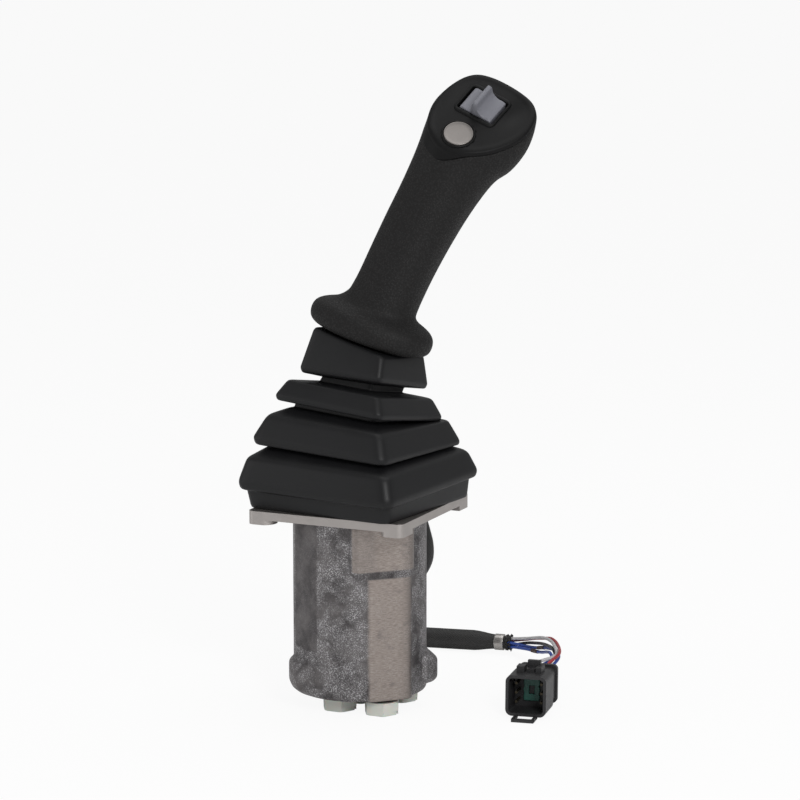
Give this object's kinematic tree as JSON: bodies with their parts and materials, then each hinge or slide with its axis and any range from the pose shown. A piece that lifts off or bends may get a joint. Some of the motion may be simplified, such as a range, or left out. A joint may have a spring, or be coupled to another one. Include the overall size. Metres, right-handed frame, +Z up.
{
  "type": "hydraulic pilot control joystick",
  "caption": "Two-axis hydraulic pilot joystick: cast valve body with spring-returned plungers, gimbal, bent lever in a pleated boot, hand grip with thumb rocker and button.",
  "frame": {"origin": "centre of the mounting plate's seating plane, the underside of its four corner bosses", "axes": "+Z up along the valve body's axis towards the grip, +X along the plate's side to the right of the hand, +Y away from the hand"},
  "size_m": [0.1931, 0.2086, 0.3761],
  "materials": {
    "machined_steel": "milled, light oil film",
    "cast_body": "cast skin, phosphated",
    "steel": "ground",
    "spring_steel": "drawn wire",
    "bronze": "machined",
    "boot_rubber": "matt, slightly worn",
    "seal_rubber": "matt",
    "milky_plastic": "translucent, moulded",
    "grip_black": "soft touch, fine leather grain",
    "core_plastic": "moulded",
    "panel_black": "fine satin",
    "rocker_grey": "fine grain",
    "button_metal": "satin",
    "braid": "braided",
    "clamp_metal": "bright",
    "wire_white": "smooth",
    "wire_red": "smooth",
    "wire_blue": "smooth",
    "wire_black": "smooth",
    "connector_black": "fine grain",
    "wedge_green": "smooth",
    "seal_green": "soft"
  },
  "bodies": {
    "housing": {"mounting_plate": "machined_steel", "valve_body": "cast_body", "retainer_plate": "machined_steel", "retainer_screws": "steel", "guide_bushes": "bronze", "wiper_seals": "seal_rubber", "lower_yoke": "steel", "lower_yoke_bushes": "bronze", "port_plugs": "milky_plastic", "plug_seals": "seal_rubber", "cable_grommet": "seal_rubber", "boot": "boot_rubber", "return_spring_right": "spring_steel", "return_spring_left": "spring_steel", "return_spring_rear": "spring_steel", "return_spring_front": "spring_steel", "harness_sleeve": "braid", "sleeve_clamp": "clamp_metal", "wire_white": "wire_white", "wire_red": "wire_red", "wire_blue_upper": "wire_blue", "wire_blue_lower": "wire_blue", "wire_black": "wire_black", "connector_shell": "connector_black", "connector_wedge": "wedge_green", "connector_pins": "steel", "connector_seal": "seal_green"},
    "cross": {"gimbal_cross": "steel"},
    "lever": {"upper_yoke": "steel", "upper_yoke_bushes": "bronze", "swash_disc": "steel", "lock_nut": "steel", "lever_rod": "steel", "grip_core": "core_plastic", "grip_shell": "grip_black", "switch_panel": "panel_black", "rocker_bezel": "panel_black", "rocker_base": "panel_black", "rocker_pin": "steel", "button_ring": "panel_black", "button_switch": "panel_black", "button_spring": "spring_steel"},
    "rocker": {"thumb_rocker": "rocker_grey"},
    "button": {"push_button": "button_metal"},
    "plunger_right": {"plunger_right": "steel"},
    "spool_right": {"spool_right": "steel", "control_spring_right": "spring_steel"},
    "plunger_left": {"plunger_left": "steel"},
    "spool_left": {"spool_left": "steel", "control_spring_left": "spring_steel"},
    "plunger_rear": {"plunger_rear": "steel"},
    "spool_rear": {"spool_rear": "steel", "control_spring_rear": "spring_steel"},
    "plunger_front": {"plunger_front": "steel"},
    "spool_front": {"spool_front": "steel", "control_spring_front": "spring_steel"}
  },
  "joints": [
    {"name": "tilt_fore_aft", "type": "hinge", "parent": "housing", "child": "cross", "pos_m": [0, 0, 0.031], "axis": [1, 0, 0], "range_deg": [-19, 19], "stiffness_Nm_per_rad": 8, "deforming": ["boot"]},
    {"name": "tilt_side", "type": "hinge", "parent": "cross", "child": "lever", "pos_m": [0, 0, 0.031], "axis": [0, 1, 0], "range_deg": [-19, 19], "stiffness_Nm_per_rad": 8, "deforming": ["boot"]},
    {"name": "rocker_tilt", "type": "hinge", "parent": "lever", "child": "rocker", "pos_m": [0.06284, 0.03657, 0.24104], "axis": [0.2645, 0.766, 0.5858], "range_deg": [-16, 16], "stiffness_Nm_per_rad": 0.25},
    {"name": "button_press", "type": "slide", "parent": "lever", "child": "button", "axis": [0.3152, -0.6428, 0.6982], "range_m": [-0.0025, 0], "stiffness_N_per_m": 800, "springref_m": 0.002, "deforming": ["button_spring"]},
    {"name": "plunger_right_slide", "type": "slide", "parent": "housing", "child": "plunger_right", "axis": [0, 0, 1], "range_m": [-0.0078, 0.0078], "deforming": ["return_spring_right", "control_spring_right"]},
    {"name": "spool_right_slide", "type": "slide", "parent": "housing", "child": "spool_right", "axis": [0, 0, 1], "range_m": [-0.0014, 0.0014]},
    {"name": "plunger_left_slide", "type": "slide", "parent": "housing", "child": "plunger_left", "axis": [0, 0, 1], "range_m": [-0.0078, 0.0078], "deforming": ["return_spring_left", "control_spring_left"]},
    {"name": "spool_left_slide", "type": "slide", "parent": "housing", "child": "spool_left", "axis": [0, 0, 1], "range_m": [-0.0014, 0.0014]},
    {"name": "plunger_rear_slide", "type": "slide", "parent": "housing", "child": "plunger_rear", "axis": [0, 0, 1], "range_m": [-0.0078, 0.0078], "deforming": ["return_spring_rear", "control_spring_rear"]},
    {"name": "spool_rear_slide", "type": "slide", "parent": "housing", "child": "spool_rear", "axis": [0, 0, 1], "range_m": [-0.0014, 0.0014]},
    {"name": "plunger_front_slide", "type": "slide", "parent": "housing", "child": "plunger_front", "axis": [0, 0, 1], "range_m": [-0.0078, 0.0078], "deforming": ["return_spring_front", "control_spring_front"]},
    {"name": "spool_front_slide", "type": "slide", "parent": "housing", "child": "spool_front", "axis": [0, 0, 1], "range_m": [-0.0014, 0.0014]}
  ],
  "couplings": [
    {"joint": "plunger_right_slide", "follows": "tilt_side", "m_per_rad": -0.0232},
    {"joint": "spool_right_slide", "follows": "tilt_side", "m_per_rad": -0.004},
    {"joint": "plunger_left_slide", "follows": "tilt_side", "m_per_rad": 0.0232},
    {"joint": "spool_left_slide", "follows": "tilt_side", "m_per_rad": 0.004},
    {"joint": "plunger_rear_slide", "follows": "tilt_fore_aft", "m_per_rad": 0.0232},
    {"joint": "spool_rear_slide", "follows": "tilt_fore_aft", "m_per_rad": 0.004},
    {"joint": "plunger_front_slide", "follows": "tilt_fore_aft", "m_per_rad": -0.0232},
    {"joint": "spool_front_slide", "follows": "tilt_fore_aft", "m_per_rad": -0.004}
  ]
}
